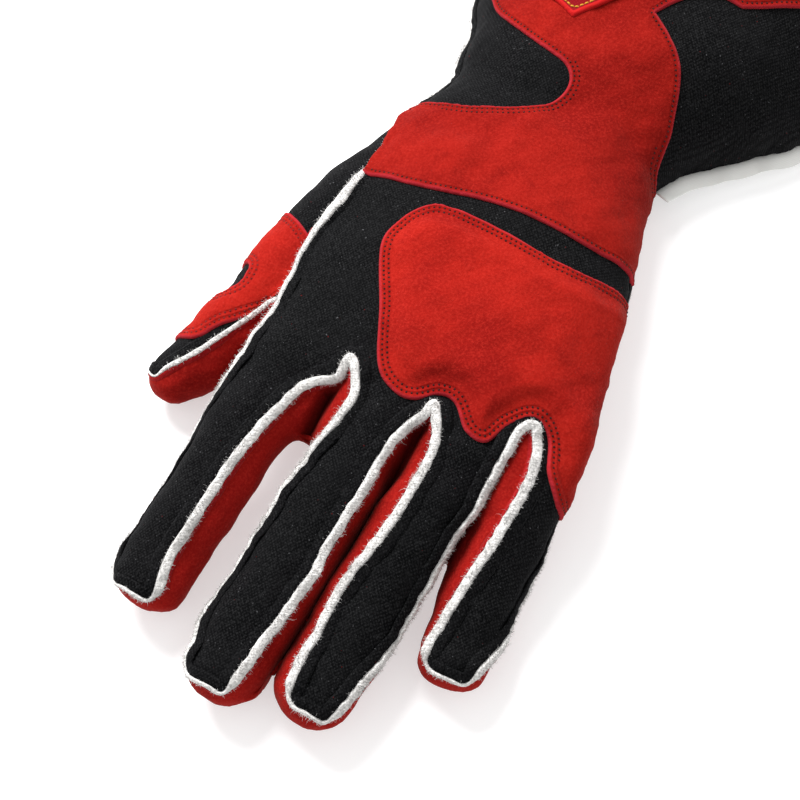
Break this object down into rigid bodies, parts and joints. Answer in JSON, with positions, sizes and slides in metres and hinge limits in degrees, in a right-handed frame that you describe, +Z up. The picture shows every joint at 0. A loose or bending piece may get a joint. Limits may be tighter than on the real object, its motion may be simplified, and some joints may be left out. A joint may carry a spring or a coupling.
{
  "type": "racing glove",
  "caption": "Left racing glove lying palm down: black knit back, red suede palm and patches, white outside seams and a flared open gauntlet",
  "frame": {"origin": "under the heel of the hand, at the bottom centre of the whole glove's box, on the surface that it lies on", "axes": "+X to the little finger's side, +Y from the fingertips to the gauntlet's mouth, +Z up, from the palm to the back of the hand"},
  "size_m": [0.1842, 0.3338, 0.0526],
  "materials": {
    "knit": "matt twill knit",
    "suede": "napped suede",
    "patch_suede": "napped suede",
    "lining": "brushed fleece edge",
    "label": "plain woven tape",
    "badge": "smooth, yellow stitched border"
  },
  "bodies": {
    "root": {"back_panel": "knit", "thumb_back": "knit", "gauntlet_underside": "knit", "palm": "suede", "index_front": "suede", "middle_front": "suede", "ring_front": "suede", "little_front": "suede", "thumb_front": "suede", "hand_side_seam": "lining", "index_middle_seam": "lining", "middle_ring_seam": "lining", "ring_little_seam": "lining", "little_side_seam": "lining", "thumb_seam": "lining", "side_label": "label", "hand_patch": "patch_suede", "cuff_patch": "patch_suede", "thumb_patch": "patch_suede", "badge": "badge"}
  },
  "joints": []
}
